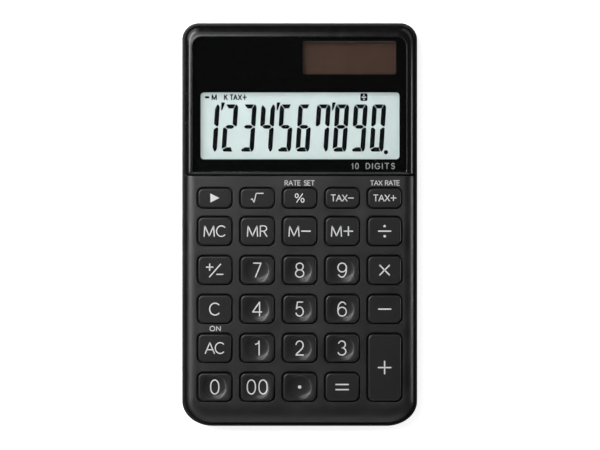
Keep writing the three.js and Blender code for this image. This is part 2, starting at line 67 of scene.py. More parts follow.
REAR_TOP_RADIUS = 5.0
REAR_BOTTOM_RADIUS = (9.2, 7.4)
REAR_EDGE_INSET = 1.4
REAR_EDGE_RISE = 2.0
REAR_WALL = 1.6
REAR_FLOOR = 1.7
RIM_WIDTH = 0.75
RIM_LEDGE = 4.6
RIM_ROUND = 0.25
RIM_CHAMFER = 0.08
UNDERSIDE_MARGIN = 0.15
RECESS_CLEARANCE = 0.25
BORE_CHAMFER = 0.12
FOOT_RECESS = 0.3
FOOT_RECESS_CHAMFER = 0.08
LABEL_RECESS = 0.15
LABEL_RECESS_RADIUS = 1.5
LABEL_GAP = 0.2
LABEL_RADIUS = 1.3
SEAT_BOTTOM = 1.5
SEAT_CEILING = 2.3
SEAT_PROFILE = ((3.0, SEAT_BOTTOM), (3.0, 2.9), (1.15, 2.9), (1.15, SEAT_CEILING))
RIBS_X = (-15, 15)
RIB_HALF_WIDTH = 0.5
RIB_ENDS = (-50, 40)
RIB_BOTTOM = 1.4
RIB_TOP = 2.95
DECK_END_Y = 14.55
DECK_UNDERSIDE = 6.95
DECK_TOP_RADIUS = 0.2
DECK_BOTTOM_RADIUS = (3.6, 2.6)
WALL_FOOT = 4.65
FRONT_WALL = 1.2
SHOULDER_SIDE = 3.05
SHOULDER_BOTTOM = 5.6
SHOULDER_TOP = 0.22
SHOULDER_DROP = 1.9
SEAM_RADIUS = 0.3
CREASE = 0.06
BEVEL_SIDE = 2.2
BEVEL_TOP = 3.3
BEVEL_BOTTOM = 0.6
BEVEL_DROP = 2.0
BEVEL_TOP_RADIUS = 2.8
BEVEL_BOTTOM_RADIUS = 0.5
BAR_CHAMFER = 0.32
FRAME_SKIRT = 1.1
FRAME_SKIRT_BOTTOM = 0.3
FRAME_LIP = 0.05
SHELF_BOTTOM = 7.0
SHELF_TOP = 7.5
TRAY_INSET = 1.25
TRAY_INSET_BOTTOM = 0.5
TRAY_RADIUS = 2.8
TRAY_WALL = 1.1
LCD_WINDOW = (0.1, 29.29, 59.04, 19.83, 1.0)
LCD_TRAY_MARGIN = 1.4
SOLAR_WINDOW = (14.75, 49.53, 27.8, 9.85, 0.6)
SOLAR_TRAY_MARGIN = 0.1
LENS_TOP_RADIUS = 2.7
LENS_BOTTOM_RADIUS = 0.45
LENS_CHAMFER = 0.08
MASK_INSET = 0.02
MASK_BELOW_LENS = (0.03, 0.024)
PRINT_BELOW_LENS = 0.0125
LENS_WORD = ("10 DIGITS", 21.8, 17.35, 13.0, 1.9, 0.3)
PRINT_THICKNESS = 0.02
KEY_STEPS = 8
OPENING_RADIUS = 1.9
OPENING_FILLET = 0.16
OPENING_MARGIN = 0.1
FLANGE_LAP = 0.4
FLANGE_CLEARANCE = 0.05
FLANGE_LOW = 0.4
FLANGE_HIGH = 1.0
STEM_RADIUS = 1.6
STEM_TIP_RADIUS = 1.5
KEY_GAP = 0.45
CAP_RADIUS = 1.5
CAP_FOOT_SPREAD = 0.02
CAP_FILLET = 0.42
CAP_TOP = 9.12
CAP_CREASE = 0.01
DISH_RADIUS = 3.6
DISH_DEPTH = 0.42
DISH_SHARES = (1, 0.985, 0.96, 0.93, 0.9, 0.86, 0.8, 0.7, 0.5, 0.25)

# ---- Outlines: rounded rectangles with elliptical corners ----

Outline = namedtuple("Outline", "left right bottom top top_radius bottom_radius")


def node_box(node):
    """The node's box in millimetres, as (left, right, bottom, top, low, high)."""
    low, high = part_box(node)
    return tuple(v / MM for v in (low.x, high.x, low.y, high.y, low.z, high.z))


def centre_of(node):
    """The middle of the node's box, and half its width."""
    left, right, bottom, top = node_box(node)[:4]
    return (left + right) / 2, (bottom + top) / 2, (right - left) / 2


def rounded(x, y, width, length, radius):
    half_x, half_y = width / 2, length / 2
    return Outline(x - half_x, x + half_x, y - half_y, y + half_y, (radius, radius), (radius, radius))


def with_corners(outline, top, bottom=None):
    """The same outline with other corners. A radius is one number, or an x and a y radius."""
    radii = (top, top if bottom is None else bottom)
    top, bottom = (r if isinstance(r, tuple) else (r, r) for r in radii)
    return outline._replace(top_radius=top, bottom_radius=bottom)


def node_outline(node, top_radius, bottom_radius=None, grow=0.0):
    """The outline of a node's box, grown on all sides, with the given corners."""
    left, right, bottom, top = node_box(node)[:4]
    box = Outline(left - grow, right + grow, bottom - grow, top + grow, None, None)
    return with_corners(box, top_radius, bottom_radius)


def inset(outline, side, bottom=None, top=None):
    bottom = side if bottom is None else bottom
    top = side if top is None else top
    rt, rb = outline.top_radius, outline.bottom_radius
    return Outline(
        outline.left + side,
        outline.right - side,
        outline.bottom + bottom,
        outline.top - top,
        (max(rt[0] - side, 0.05), max(rt[1] - top, 0.05)),
        (max(rb[0] - side, 0.05), max(rb[1] - bottom, 0.05)),
    )


def between(first, second, share):
    def mix(a, b):
        if isinstance(a, tuple):
            return tuple(mix(p, q) for p, q in zip(a, b))
        return a + (b - a) * share

    return Outline(*(mix(a, b) for a, b in zip(first, second)))


def outline_points(outline, steps):
    """The outline's points, counterclockwise from the bottom right corner."""
    points = []
    for quarter, (to_x, to_y) in enumerate(((1, -1), (1, 1), (-1, 1), (-1, -1))):
        rx, ry = outline.top_radius if to_y > 0 else outline.bottom_radius
        x = outline.right - rx if to_x > 0 else outline.left + rx
        y = outline.top - ry if to_y > 0 else outline.bottom + ry
        for step in range(steps + 1):
            angle = (quarter - 1 + step / steps) * math.pi / 2
            points.append((x + rx * math.cos(angle), y + ry * math.sin(angle)))
    return points


def circle_points(x, y, radius, steps):
    angles = [2 * math.pi * i / steps for i in range(steps)]
    return [(x + radius * math.cos(a), y + radius * math.sin(a)) for a in angles]


def quarter_turn(steps):
    return [math.pi / 2 * i / steps for i in range(steps + 1)]


# ---- Mesh building ----


def contains(polygon, x, y):
    inside = False
    for (x1, y1), (x2, y2) in zip(polygon, polygon[1:] + polygon[:1]):
        if (y1 > y) != (y2 > y) and x < (x2 - x1) * (y - y1) / (y2 - y1) + x1:
            inside = not inside
    return inside


class Surface:
    """Points and faces gathered loop by loop. Loops run counterclockwise seen from above."""

    def __init__(self):
        self.points = []
        self.faces = []

    def loop(self, flat_points, z):
        start = len(self.points)
        self.points += [(x, y, z) for x, y in flat_points]
        return list(range(start, len(self.points)))

    def ring(self, outline, z, steps=24):
        return self.loop(outline_points(outline, steps), z)

    def circle(self, x, y, radius, z, steps=40):
        return self.loop(circle_points(x, y, radius, steps), z)

    def bands(self, loops, closed=False):
        """Skins each loop to the next. Going up, or inwards on a top, the faces point outwards."""
        pairs = list(zip(loops, loops[1:]))
        if closed:
            pairs.append((loops[-1], loops[0]))
        for low, high in pairs:
            for i in range(len(low)):
                j = (i + 1) % len(low)
                self.faces.append((low[i], low[j], high[j], high[i]))

    def plate(self, border, holes=(), up=True):
        """A flat triangulated face inside one loop and outside the others."""
        loops = (border, *holes)
        ids = [i for loop in loops for i in loop]
        flat = [Vector(self.points[i][:2]) for i in ids]
        edges = []
        for loop in loops:
            start = len(edges)
            edges += [(start + i, start + (i + 1) % len(loop)) for i in range(len(loop))]
        out = delaunay_2d_cdt(flat, edges, [], 0, 1e-6)
        source = [ids[origin[0]] for origin in out[3]]
        outer, *inner = ([self.points[i][:2] for i in loop] for loop in loops)
        for face in out[2]:
            x = sum(out[0][i].x for i in face) / len(face)
            y = sum(out[0][i].y for i in face) / len(face)
            if contains(outer, x, y) and not any(contains(hole, x, y) for hole in inner):
                self.fan([source[i] for i in face], up)

    def fan(self, loop, up=True):
        self.faces.append(tuple(loop if up else reversed(loop)))

    def slab(self, border, holes, low, high):
        """A flat plate with holes. Border and holes are lists of flat points."""
        bottom = [self.loop(points, low) for points in (border, *holes)]
        top = [self.loop(points, high) for points in (border, *holes)]
        self.plate(bottom[0], bottom[1:], up=False)
        self.plate(top[0], top[1:])
        self.bands([bottom[0], top[0]])
        for under, over in zip(bottom[1:], top[1:]):
            self.bands([over, under])

    def round_over(self, outline, radius, top, turns, steps=24):
        """Loops that round the edge from a wall on to its top, one at each turn."""
        loops = []
        for t in turns:
            shape = inset(outline, radius * (1 - math.cos(t)))
            loops.append(self.ring(shape, top - radius * (1 - math.sin(t)), steps))
        return loops

    def solid(self, loops):
        """Skins each loop to the next, from the lower end to the upper, with flat ends."""
        self.fan(loops[0], up=False)
        self.bands(loops)
        self.fan(loops[-1])

    def build(self, name, material, sharp=35):
        """Makes the object, with a key of MATERIALS. Edges over the sharp angle stay crisp."""
        mesh = bpy.data.meshes.new(name)
        mesh.from_pydata([tuple(c * MM for c in p) for p in self.points], [], self.faces)
        mesh.validate()
        mesh.shade_smooth()
        mesh.set_sharp_from_angle(angle=math.radians(sharp))
        mesh.materials.append(MATERIALS[material])
        obj = bpy.data.objects.new(name, mesh)
        bpy.context.scene.collection.objects.link(obj)
        return obj


def place(obj, body, slot, *replaced):
    """Rides a finished piece on its body and hides the nodes it stands for. The slot is not used."""
    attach(obj, body)
    if replaced:
        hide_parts(*replaced)
    return obj


# ---- Materials ----


class Nodes:
    """A material's node tree, built a node at a time."""

    def __init__(self, name):
        self.name = name
        self.material = bpy.data.materials.new(name)
        self.material.use_nodes = True
        self.tree = self.material.node_tree
        self.shader = self.tree.nodes["Principled BSDF"]

    def set(self, **values):
        for key, value in values.items():
            self.shader.inputs[key.replace("_", " ")].default_value = value
        return self

    def add(self, kind, **settings):
        node = self.tree.nodes.new(kind)
        for key, value in settings.items():
            setattr(node, key, value)
        return node

    def link(self, source, target):
        self.tree.links.new(source, target)

    def noise(self, scale, detail=2.0, roughness=0.5):
        """Noise over the object's own space. The scale is in cells per millimetre."""
        coordinates = self.add("ShaderNodeTexCoord")
        noise = self.add("ShaderNodeTexNoise")
        noise.inputs["Scale"].default_value = scale / MM
        noise.inputs["Detail"].default_value = detail
        noise.inputs["Roughness"].default_value = roughness
        self.link(coordinates.outputs["Object"], noise.inputs["Vector"])
        return noise.outputs["Fac"]

    def range(self, value, low, high, from_low=0.3, from_high=0.7):
        ramp = self.add("ShaderNodeMapRange")
        for socket, number in enumerate((from_low, from_high, low, high), 1):
            ramp.inputs[socket].default_value = number
        self.link(value, ramp.inputs["Value"])
        return ramp.outputs["Result"]

    def mix(self, factor, first, second):
        """Goes from the first colour, or another mix, to the second colour as the factor rises."""
        mix = self.add("ShaderNodeMix", data_type="RGBA")
        if isinstance(first, tuple):
            mix.inputs[6].default_value = (*first, 1)
        else:
            self.link(first, mix.inputs[6])
        mix.inputs[7].default_value = (*second, 1)
        self.link(factor, mix.inputs[0])
        return mix.outputs[2]

    def bump(self, height, distance, strength=1.0):
        bump = self.add("ShaderNodeBump")
        bump.inputs["Distance"].default_value = distance * MM
        bump.inputs["Strength"].default_value = strength
        self.link(height, bump.inputs["Height"])
        self.link(bump.outputs["Normal"], self.shader.inputs["Normal"])

    def colour(self, socket):
        self.link(socket, self.shader.inputs["Base Color"])

    def rough(self, socket):
        self.link(socket, self.shader.inputs["Roughness"])

    def clear_where(self, factor, tint=(1, 1, 1)):
        """Lets light straight through, with a tint, where the factor is 1."""
        clear = self.add("ShaderNodeBsdfTransparent")
        clear.inputs["Color"].default_value = (*tint, 1)
        mix = self.add("ShaderNodeMixShader")
        self.link(factor, mix.inputs[0])
        self.link(self.shader.outputs[0], mix.inputs[1])
        self.link(clear.outputs[0], mix.inputs[2])
        self.link(mix.outputs[0], self.tree.nodes["Material Output"].inputs["Surface"])


def scaled(colour, factor):
    return tuple(c * factor for c in colour)


def moulded(name, colour, roughness, grain=9.0, depth=0.012, variation=0.12):
    """Moulded plastic: spark-eroded grain, with slow changes in sheen and a little in colour."""
    n = Nodes(name)
    fine = n.noise(grain, 3.0, 0.6)
    slow = n.noise(0.12, 3.0)
    darker = scaled(colour, 1 - variation)
    lighter = scaled(colour, 1 + variation)
    n.colour(n.mix(n.range(fine, 0, 1), darker, lighter))
    n.rough(n.range(slow, roughness - 0.06, roughness + 0.06))
    n.bump(fine, depth)
    return n


def polished(name, colour, roughness, coat=0.0):
    """Polished plastic with faint wiping haze."""
    n = Nodes(name)
    haze = n.noise(0.35, 4.0, 0.65)
    n.set(Base_Color=(*colour, 1), Coat_Weight=coat, Coat_Roughness=0.04)
    n.rough(n.range(haze, roughness * 0.75, roughness * 1.4))
    n.bump(n.noise(0.5, 1.0), 0.002, 0.5)
    return n


def rubber(name, colour, roughness=0.75):
    """Rubber and foam: a coarser grain than plastic has."""
    return moulded(name, colour, roughness, grain=5.0, depth=0.02, variation=0.15)


def metal(name, colour, roughness):
    """Bare metal with fine scratches."""
    n = Nodes(name)
    n.set(Metallic=1.0)
    scratches = n.noise(6.0, 4.0, 0.7)
    n.colour(n.mix(n.range(scratches, 0, 1), scaled(colour, 0.85), colour))
    n.rough(n.range(scratches, roughness * 0.7, roughness * 1.4))
    n.bump(scratches, 0.004)
    return n


def pad_print(name, colour):
    """Printed ink: even, a little uneven in sheen."""
    n = Nodes(name)
    ink = n.noise(4.0, 2.0)
    n.colour(n.mix(n.range(ink, 0, 1), scaled(colour, 0.94), colour))
    n.rough(n.range(ink, 0.45, 0.6))
    return n


def backed_print(name, colour):
    """Ink that lies against clear plastic, so that it has no gloss of its own."""
    return pad_print(name, colour).set(Specular_IOR_Level=0.0)


def clear_sheet(name, tint, roughness, ior):
    """Clear plastic or glass that lets shadow rays through."""
    n = Nodes(name)
    n.set(Base_Color=(*tint, 1), Transmission_Weight=1.0, IOR=ior)
    n.rough(n.range(n.noise(0.3, 3.0), roughness * 0.6, roughness * 1.4))
    path = n.add("ShaderNodeLightPath")
    n.clear_where(path.outputs["Is Shadow Ray"], tint)
    return n


def thin_glass(name, tint, alpha):
    """A glass plate inside the display stack: it shines a little and doesn't bend light."""
    n = Nodes(name)
    n.set(Base_Color=(*tint, 1), Alpha=alpha)
    n.rough(n.range(n.noise(0.6, 2.0), 0.06, 0.14))
    return n


def display_background(name, colour):
    """Silvery film behind the display, with the fine sparkle of its reflector."""
    n = Nodes(name)
    sparkle = n.noise(14.0, 2.0, 0.7)
    n.colour(n.mix(n.range(sparkle, 0, 1), scaled(colour, 0.97), colour))
    n.rough(n.range(n.noise(0.2, 2.0), 0.5, 0.6))
    n.bump(sparkle, 0.003)
    return n


def solar_film(name, colour):
    """Amorphous silicon under glass: four strips parted by fine lines, and a faint bloom."""
    n = Nodes(name)
    coordinates = n.add("ShaderNodeTexCoord")
    split = n.add("ShaderNodeSeparateXYZ")
    n.link(coordinates.outputs["Object"], split.inputs[0])
    left, right = node_box("solar_cell")[:2]
    cells = n.range(split.outputs["X"], 0, 4, left * MM, right * MM)
    fraction = n.add("ShaderNodeMath", operation="PINGPONG")
    fraction.inputs[1].default_value = 0.5
    n.link(cells, fraction.inputs[0])
    line = n.range(fraction.outputs[0], 1.0, 0.0, 0.004, 0.012)
    bloom = n.mix(n.range(n.noise(0.15, 2.0), 0, 1), scaled(colour, 0.9), colour)
    n.colour(n.mix(line, bloom, scaled(colour, 0.75)))
    n.set(Roughness=0.35, Specular_IOR_Level=0.1)
    return n


def paper(name):
    """Pale paper, faintly lit from within like a light table. From behind it is clear."""
    n = Nodes(name)
    n.set(Roughness=0.9, Specular_IOR_Level=0.1, Emission_Color=(1, 1, 1, 1), Emission_Strength=0.75)
    n.colour(n.mix(n.range(n.noise(0.02, 3.0), 0, 1), (0.86, 0.86, 0.86), (0.9, 0.9, 0.9)))
    side = n.add("ShaderNodeNewGeometry")
    n.clear_where(side.outputs["Backfacing"])
    return n


FINISHES = (
    moulded("rear_matt", (0.010, 0.0105, 0.0115), 0.45),
    moulded("front_matt", (0.075, 0.075, 0.0755), 0.42, variation=0.06).set(Metallic=1.0),
    polished("frame_gloss", (0.004, 0.004, 0.0045), 0.2),
    moulded("key_black", (0.009, 0.009, 0.009), 0.5, grain=12.0, depth=0.004).set(
        Specular_IOR_Level=0.35, Coat_Weight=0.6, Coat_Roughness=0.2
    ),
    pad_print("legend_print", (0.76, 0.76, 0.755)),
    backed_print("lens_print", (0.28, 0.28, 0.28)),
    backed_print("mask_print", (0.0012, 0.0012, 0.0014)),
    clear_sheet("lens_clear", (0.97, 0.985, 0.98), 0.02, 1.45),
    thin_glass("lcd_glass", (0.01, 0.012, 0.012), 0.04),
    display_background("lcd_background", (0.64, 0.725, 0.72)),
    backed_print("lcd_ink", (0.004, 0.004, 0.006)),
    solar_film("solar_glass", (0.050, 0.027, 0.019)),
    moulded("tape_black", (0.012, 0.012, 0.012), 0.7),
    moulded("holder_white", (0.70, 0.70, 0.68), 0.5),
    rubber("zebra_rubber", (0.55, 0.50, 0.48)),
    rubber("foam_black", (0.05, 0.05, 0.05), 0.9),
    polished("wire_red", (0.35, 0.02, 0.015), 0.4),
    polished("wire_black", (0.015, 0.015, 0.015), 0.4),
    moulded("board_green", (0.03, 0.11, 0.04), 0.35, grain=2.0, depth=0.01),
    polished("resin_black", (0.006, 0.006, 0.006), 0.25),
    polished("capacitor_sleeve", (0.012, 0.025, 0.075), 0.3),
    polished("diode_glass", (0.46, 0.14, 0.04), 0.1, coat=1.0),
    rubber("mat_rubber", (0.48, 0.50, 0.53)),
    metal("bright_steel", (0.62, 0.62, 0.60), 0.28),
    polished("label_film", (0.34, 0.35, 0.36), 0.4),
    metal("screw_steel", (0.16, 0.16, 0.165), 0.35),
    rubber("foot_rubber", (0.014, 0.014, 0.014), 0.8),
    paper("floor_paper"),
)
MATERIALS = {finish.name: finish.material for finish in FINISHES}


def finish_cad_nodes():
    """Gives every CAD node the full material of its slot in the record."""
    for part in frame["record"]["subparts"]:
        mesh = frame["nodes"][part["node"]].data
        mesh.materials.clear()
        mesh.materials.append(MATERIALS[part["material_slot"]])


# ---- Stroke lettering ----
# A glyph is a list of strokes in a unit square, each a list of points along the stroke's middle.


def arc(x, y, rx, ry, start, stop):
    steps = max(3, round(abs(stop - start) / 9))
    turns = [math.radians(start + (stop - start) * i / steps) for i in range(steps + 1)]
    return [(x + rx * math.cos(t), y + ry * math.sin(t)) for t in turns]


def turned(strokes):
    return [[(1 - x, 1 - y) for x, y in stroke] for stroke in strokes]


SIX = [arc(0.53, 0.5, 0.53, 0.5, 42, 180) + [(0, 0.33)], arc(0.5, 0.315, 0.5, 0.315, 0, 360)]
PLUS = [[(0.5, 0), (0.5, 1)], [(0, 0.5), (1, 0.5)]]
GLYPHS = {
    "0": [arc(0.5, 0.58, 0.5, 0.42, 0, 180) + arc(0.5, 0.42, 0.5, 0.42, 180, 360) + [(1, 0.58)]],
    "1": [[(1, 0), (1, 1), (0.86, 0.9), (0.6, 0.81), (0, 0.76)]],
    "2": [
        arc(0.49, 0.70, 0.47, 0.30, 172, -22)
        + [(0.86, 0.50), (0.60, 0.33), (0.30, 0.19), (0.10, 0.08), (0.02, 0), (1, 0)]
    ],
    "3": [arc(0.47, 0.75, 0.43, 0.25, 162, -90), arc(0.47, 0.255, 0.5, 0.255, 90, -162)],
    "4": [[(0.76, 0), (0.76, 1), (0, 0.29), (1, 0.29)]],
    "5": [[(0.92, 1), (0.2, 1), (0.07, 0.5)], arc(0.48, 0.325, 0.5, 0.325, 146, -160)],
    "6": SIX,
    "7": [[(0, 1), (1, 1), (0.27, 0)]],
    "8": [arc(0.5, 0.75, 0.43, 0.25, 0, 360), arc(0.5, 0.26, 0.5, 0.26, 0, 360)],
    "9": turned(SIX),
    "A": [[(0, 0), (0.5, 1), (1, 0)], [(0.19, 0.35), (0.81, 0.35)]],
    "C": [arc(0.55, 0.5, 0.55, 0.5, 44, 316)],
    "D": [[(0.35, 1), (0, 1), (0, 0), (0.35, 0)], arc(0.35, 0.5, 0.65, 0.5, -90, 90)],
    "E": [[(1, 1), (0, 1), (0, 0), (1, 0)], [(0, 0.52), (0.88, 0.52)]],
    "G": [arc(0.55, 0.5, 0.55, 0.5, 44, 330), [(0.62, 0.46), (1, 0.46), (1, 0.2)]],
    "I": [[(0.5, 0), (0.5, 1)]],
    "K": [[(0, 0), (0, 1)], [(1, 1), (0, 0.36)], [(0.36, 0.6), (1, 0)]],
    "M": [[(0, 0), (0.06, 1), (0.5, 0.04), (0.94, 1), (1, 0)]],
    "N": [[(0, 0), (0, 1), (1, 0), (1, 1)]],
    "O": [arc(0.5, 0.5, 0.5, 0.5, 0, 360)],
    "R": [
        [(0, 0), (0, 1), (0.5, 1)],
        arc(0.5, 0.75, 0.46, 0.25, 90, -90) + [(0, 0.5)],
        [(0.48, 0.5), (1, 0)],
    ],
    "S": [arc(0.5, 0.75, 0.45, 0.25, 28, 268), arc(0.5, 0.26, 0.5, 0.26, 88, -150)],
    "T": [[(0, 1), (1, 1)], [(0.5, 1), (0.5, 0)]],
    "X": [[(0, 0), (1, 1)], [(0, 1), (1, 0)]],
    "+": PLUS,
    "-": [[(0, 0.5), (1, 0.5)]],
    "/": [[(0, 0), (1, 1)]],
    "%": [
        arc(0.17, 0.77, 0.17, 0.23, 0, 360),
        arc(0.83, 0.23, 0.17, 0.23, 0, 360),
        [(0.16, 0), (0.84, 1)],
    ],
    "root": [[(0, 0.34), (0.1, 0.42), (0.24, 0.02), (0.42, 1), (1, 1)]],
}
GLYPH_WIDTH = {
    "0": 0.61, "1": 0.33, "2": 0.58, "3": 0.60, "4": 0.68, "5": 0.57, "6": 0.63, "7": 0.58, "8": 0.62,
    "9": 0.63, "A": 0.86, "C": 0.84, "D": 0.72, "E": 0.58, "G": 0.86, "I": 0.16, "M": 0.96,
    "N": 0.84, "O": 1.04, "R": 0.66, "S": 0.62, "T": 0.74, "X": 0.78, " ": 0.52,
}


LONGEST_STEP = 0.3
SHARPEST_TURN = math.radians(60)
END_REACH = 0.6
END_SHAPE = ((0.45, 0.89), (0.8, 0.6), (0.97, 0.25))


def resampled(points, longest):
    """The same line with no step longer than given, so that it can follow a curved surface."""
    result = [points[0]]
    for (x1, y1), (x2, y2) in zip(points, points[1:]):
        steps = max(1, math.ceil(math.hypot(x2 - x1, y2 - y1) / longest))
        result += [(x1 + (x2 - x1) * i / steps, y1 + (y2 - y1) * i / steps) for i in range(1, steps + 1)]
    return result


def split_at_corners(points):
    """Cuts a line where it turns sharply, so that each stretch gets its own round ends."""
    stretches, start = [], 0
    for i in range(1, len(points) - 1):
        before = Vector(points[i]) - Vector(points[i - 1])
        after = Vector(points[i + 1]) - Vector(points[i])
        if min(before.length, after.length) > 1e-6 and before.angle(after) > SHARPEST_TURN:
            stretches.append(points[start : i + 1])
            start = i
    return [*stretches, points[start:]]


def end_cap(point, direction, half, way):
    """Stations that round off an end of a ribbon, narrowing as they go on past it."""
    reach = direction * half * END_REACH * way
    return [(point + reach * out, direction, half * share) for out, share in END_SHAPE]


def ribbon(surface, points, width, height_at):
    """A closed flat ribbon of ink along a line, lying on the surface that height_at describes."""
    line = [Vector(p) for p in resampled(points, LONGEST_STEP)]
    directions = []
    for i in range(len(line)):
        ahead = line[min(i + 1, len(line) - 1)] - line[max(i - 1, 0)]
        directions.append(ahead.normalized())
    half = width / 2
    stations = [(p, d, half) for p, d in zip(line, directions)]
    if (line[0] - line[-1]).length > 1e-4:
        head = end_cap(*stations[0], -1)
        tail = end_cap(*stations[-1], 1)
        stations = [*reversed(head), *stations, *tail]
    rows = []
    for point, direction, reach in stations:
        normal = Vector((-direction.y, direction.x))
        left, right = point + normal * reach, point - normal * reach
        row = []
        for side, lift in ((left, 1), (right, 1), (right, 0), (left, 0)):
            row.append(len(surface.points))
            z = height_at(side.x, side.y) + (lift - 0.5) * PRINT_THICKNESS
            surface.points.append((side.x, side.y, z))
        rows.append(row)
    for here, ahead in zip(rows, rows[1:]):
        for i in range(4):
            j = (i + 1) % 4
            surface.faces.append((here[i], here[j], ahead[j], ahead[i]))
    surface.faces.append(tuple(reversed(rows[0])))
    surface.faces.append(tuple(rows[-1]))


def blot(surface, flat_points, height_at):
    """A filled convex patch of ink. Its points run counterclockwise."""
    low, high = [], []
    for loop, lift in ((low, 0), (high, 1)):
        for x, y in flat_points:
            loop.append(len(surface.points))
            z = height_at(x, y) + (lift - 0.5) * PRINT_THICKNESS
            surface.points.append((x, y, z))
    surface.solid([low, high])


def glyph(surface, name, x, y, width, height, stroke, height_at):
    """One glyph centred at x, y. Width and height take in the stroke."""
    across, up = max(width - stroke, 0), max(height - stroke, 0)
    for line in GLYPHS[name]:
        placed = [(x + (px - 0.5) * across, y + (py - 0.5) * up) for px, py in line]
        for stretch in split_at_corners(placed):
            ribbon(surface, stretch, stroke, height_at)


def level_at(z):
    """A flat surface for print to lie on."""
    return lambda x, y: z


def word(surface, text, x, y, width, height, stroke, height_at):
    """A word centred at x, y, its letters spaced to fill the width."""
    widths = [GLYPH_WIDTH[c] * height for c in text]
    gap = (width - sum(widths)) / max(len(text) - 1, 1)
    left = x - width / 2
    for letter, advance in zip(text, widths):
        if letter != " ":
            glyph(surface, letter, left + advance / 2, y, advance, height, stroke, height_at)
        left += advance + gap


# ---- The case ----


def nodes_named(prefix):
    return sorted(node for node in frame["nodes"] if node.startswith(prefix))


def key_nodes():
    return [node for node in nodes_named("key_") if node != "key_mat"]


def body_outline():
    return node_outline("rear_cover", REAR_TOP_RADIUS, REAR_BOTTOM_RADIUS)


def opening(node):
    """The hole in the deck for a key, whose own box is that of the flange under the deck."""
    return node_outline(node, OPENING_RADIUS, grow=-FLANGE_LAP)


def front_case():
    """The matt deck: soft shoulders, filleted key openings, and the hidden tray under the display."""
    left, _, _, _, _, top = node_box("front_case")
    step_in = left - body_outline().left
    corner = tuple(r - step_in for r in REAR_BOTTOM_RADIUS)
    edge = node_outline("front_case", SEAM_RADIUS, corner)._replace(top=DECK_END_Y)
    flat = inset(edge, SHOULDER_SIDE, SHOULDER_BOTTOM, SHOULDER_TOP)
    flat = with_corners(flat, DECK_TOP_RADIUS, DECK_BOTTOM_RADIUS)
    s = Surface()
    foot = s.ring(edge, WALL_FOOT)
    shoulder = [
        s.ring(between(edge, flat, 1 - math.cos(t)), top - SHOULDER_DROP * (1 - math.sin(t)))
        for t in quarter_turn(16)
    ]
    border = s.ring(inset(flat, CREASE), top)
    s.bands([foot, *shoulder, border])
    openings = [opening_wall(s, node, top) for node in key_nodes()]
    s.plate(border, [mouth for mouth, _ in openings])
    inner = inset(edge, FRONT_WALL)
    ceiling = s.ring(inner, DECK_UNDERSIDE)
    inner_foot = s.ring(inner, WALL_FOOT)
    s.plate(ceiling, [throat for _, throat in openings], up=False)
    s.bands([ceiling, inner_foot, foot])
    tray(s)
    return s.build("deck_shell", "front_matt")


def opening_wall(s, node, top):
    """The filleted wall of a key's opening. Returns its upper and lower loops."""
    hole = opening(node)
    mouth = s.ring(inset(hole, -OPENING_FILLET - OPENING_MARGIN), top, KEY_STEPS)
    fillet = []
    for t in quarter_turn(4):
        outline = inset(hole, -OPENING_FILLET * (1 - math.sin(t)))
        fillet.append(s.ring(outline, top - OPENING_FILLET * (1 - math.cos(t)), KEY_STEPS))
    throat = s.ring(hole, DECK_UNDERSIDE, KEY_STEPS)
    s.bands([mouth, *fillet, throat])
    return mouth, throat


def tray(s):
    """The shelf under the lens, with the display and solar windows, and its walls."""
    outer = inset(node_outline("display_frame", 0), TRAY_INSET, TRAY_INSET_BOTTOM, TRAY_INSET)
    outer = with_corners(outer, TRAY_RADIUS, SEAM_RADIUS)
    windows = [
        outline_points(inset(rounded(*window), -margin), 6)
        for window, margin in ((LCD_WINDOW, LCD_TRAY_MARGIN), (SOLAR_WINDOW, SOLAR_TRAY_MARGIN))
    ]
    border = outline_points(outer, 12)
    s.slab(border, windows, SHELF_BOTTOM, SHELF_TOP)
    s.slab(border, [outline_points(inset(outer, TRAY_WALL), 12)], WALL_FOOT, SHELF_BOTTOM)


def rear_cover():
    """The tub: a soft bottom edge, a thin rim with a rebate, and recesses in its underside."""
    body = body_outline()
    low, high = node_box("rear_cover")[4:]
    s = Surface()
    edge = []
    for t in quarter_turn(12):
        outline = inset(body, REAR_EDGE_INSET * (1 - math.sin(t)))
        edge.append(s.ring(outline, low + REAR_EDGE_RISE * (1 - math.cos(t))))
    rim = s.round_over(body, RIM_ROUND, high, quarter_turn(5))
    for step_in, z in (
        (RIM_WIDTH - RIM_CHAMFER, high),
        (RIM_WIDTH, high - RIM_CHAMFER),
        (RIM_WIDTH, RIM_LEDGE),
        (REAR_WALL, RIM_LEDGE),
        (REAR_WALL, REAR_FLOOR),
    ):
        rim.append(s.ring(inset(body, step_in), z))
    s.bands([*edge, *rim])
    support = s.ring(inset(body, REAR_EDGE_INSET + UNDERSIDE_MARGIN), low)
    s.bands([support, edge[0]])
    bores = [sunk(s, node, BORE_CHAMFER, low, REAR_FLOOR) for node in nodes_named("case_screw_")]
    recesses = [sunk(s, node, FOOT_RECESS_CHAMFER, low, low + FOOT_RECESS) for node in nodes_named("foot_")]
    recesses.append(label_recess(s, low))
    for _, ceiling in recesses:
        s.fan(ceiling, up=False)
    s.plate(support, [mouth for mouth, _ in bores + recesses], up=False)
    s.plate(rim[-1], [above for _, above in bores])
    screw_seats(s)
    ribs(s)
    return s.build("rear_tub", "rear_matt")


def sunk(s, node, chamfer, low, high):
    """The round wall that a screw or foot sits in. Returns its lower and upper loops."""
    x, y, radius = centre_of(node)
    bore = radius + RECESS_CLEARANCE
    mouth = s.circle(x, y, bore + chamfer, low)
    above = s.circle(x, y, bore, high)
    s.bands([mouth, s.circle(x, y, bore, low + chamfer), above])
    return mouth, above


